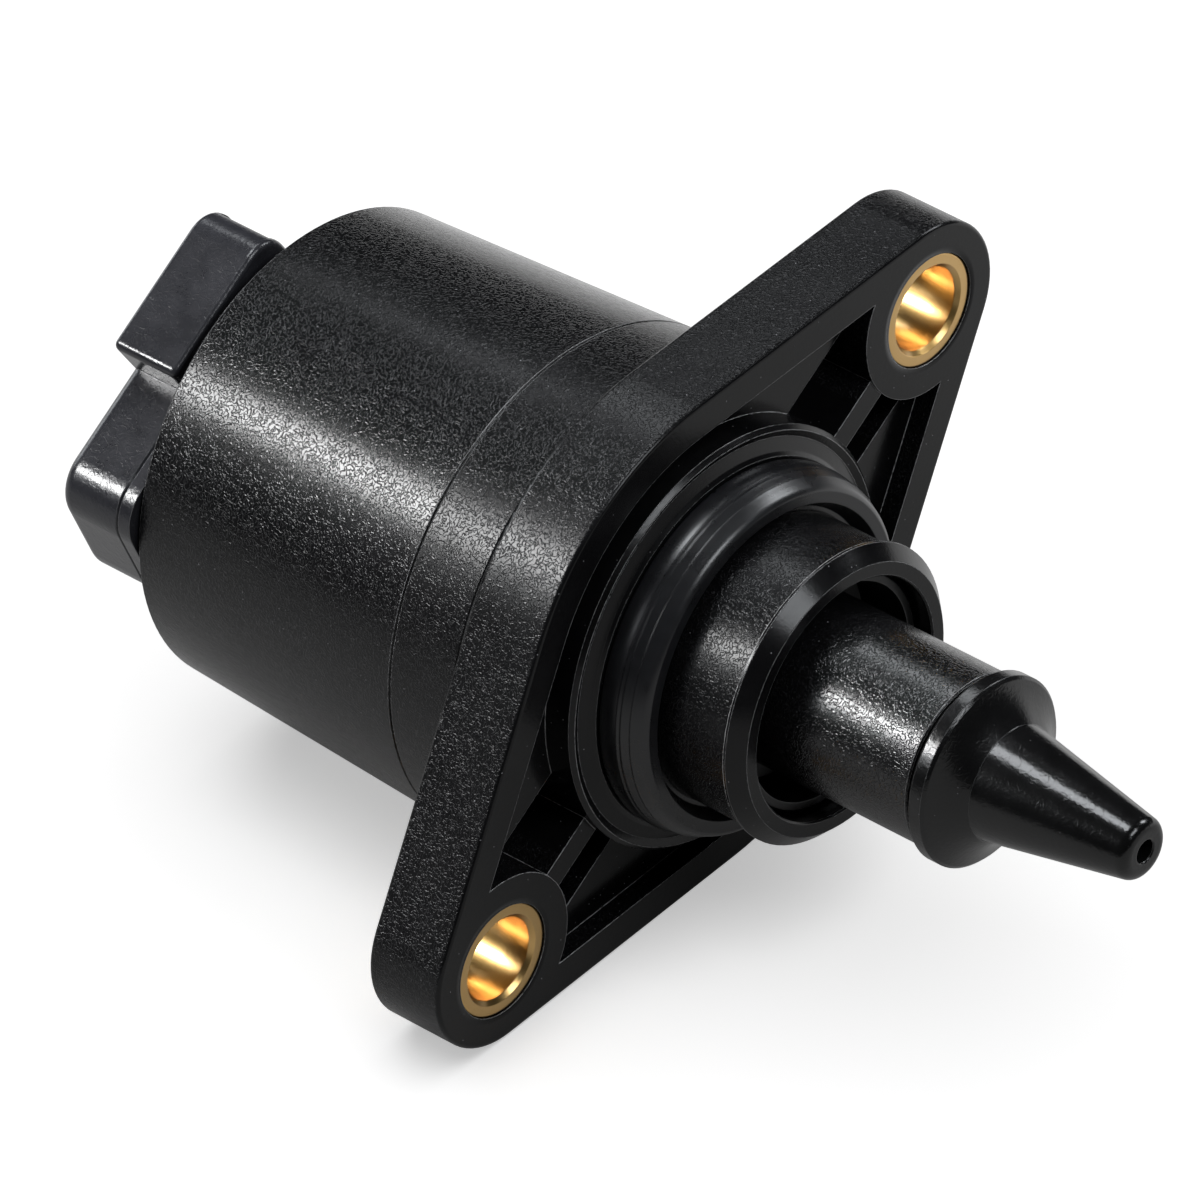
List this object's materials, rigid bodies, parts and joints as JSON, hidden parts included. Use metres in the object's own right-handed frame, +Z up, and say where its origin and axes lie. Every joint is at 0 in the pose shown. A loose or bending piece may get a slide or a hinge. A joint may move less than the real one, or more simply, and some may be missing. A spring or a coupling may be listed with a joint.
{
  "type": "idle air control valve",
  "caption": "Idle air control valve: a stepper motor in a round case behind a two-bolt flange drives a sliding conical pintle out of a sealed nose.",
  "frame": {"origin": "on the valve axis in the flange's front (mounting) face, midway between the two bolt holes", "axes": "+X along the valve axis toward the pintle; +Z up with one straight side of the flange lying flat; +Y completes the right-handed frame"},
  "size_m": [0.0762, 0.0558, 0.0368],
  "materials": {
    "body_plastic": "satin moulded black glass-filled nylon",
    "case_plastic": "fine leather-grained black nylon",
    "cover_plastic": "satin black nylon",
    "connector_plastic": "satin black nylon",
    "bush_brass": "turned and polished",
    "seal_rubber": "satin moulded rubber",
    "guide_plastic": "moulded",
    "plunger_plastic": "fine-grained black nylon",
    "pintle_plastic": "polished black plastic",
    "screw_steel": "rolled thread",
    "hub_plastic": "natural plastic",
    "magnet_ferrite": "sintered ferrite",
    "nut_brass": "turned",
    "bearing_bronze": "sintered bronze",
    "bobbin_plastic": "natural plastic",
    "coil_copper": "enamelled copper wire",
    "stator_steel": "zinc-plated pressed steel",
    "terminal_tin": "tinned brass"
  },
  "bodies": {
    "housing": {"flange_body": "body_plastic", "motor_case": "case_plastic", "rear_cover": "cover_plastic", "connector_housing": "connector_plastic", "bush_upper": "bush_brass", "bush_lower": "bush_brass", "seal_ring": "seal_rubber", "guide_ring": "guide_plastic", "bearing_front": "bearing_bronze", "bearing_rear": "bearing_bronze", "bobbin_1": "bobbin_plastic", "bobbin_2": "bobbin_plastic", "coil_1": "coil_copper", "coil_2": "coil_copper", "stator_cup_1": "stator_steel", "terminal_1": "terminal_tin", "stator_cup_2": "stator_steel", "terminal_2": "terminal_tin", "stator_cup_3": "stator_steel", "terminal_3": "terminal_tin", "stator_cup_4": "stator_steel", "terminal_4": "terminal_tin"},
    "rotor": {"rotor_magnet": "magnet_ferrite", "rotor_hub": "hub_plastic", "rotor_nut": "nut_brass"},
    "plunger": {"plunger_sleeve": "plunger_plastic", "pintle": "pintle_plastic", "lead_screw": "screw_steel"}
  },
  "joints": [
    {"name": "rotor_spin", "type": "hinge", "parent": "housing", "child": "rotor", "pos_m": [-0.02, 0, 0], "axis": [-1, 0, 0], "range_deg": [-2520, 720]},
    {"name": "plunger_slide", "type": "slide", "parent": "housing", "child": "plunger", "axis": [1, 0, 0], "range_m": [-0.007, 0.002]}
  ],
  "couplings": [
    {"joint": "plunger_slide", "follows": "rotor_spin", "m_per_rad": 0.00015915}
  ]
}
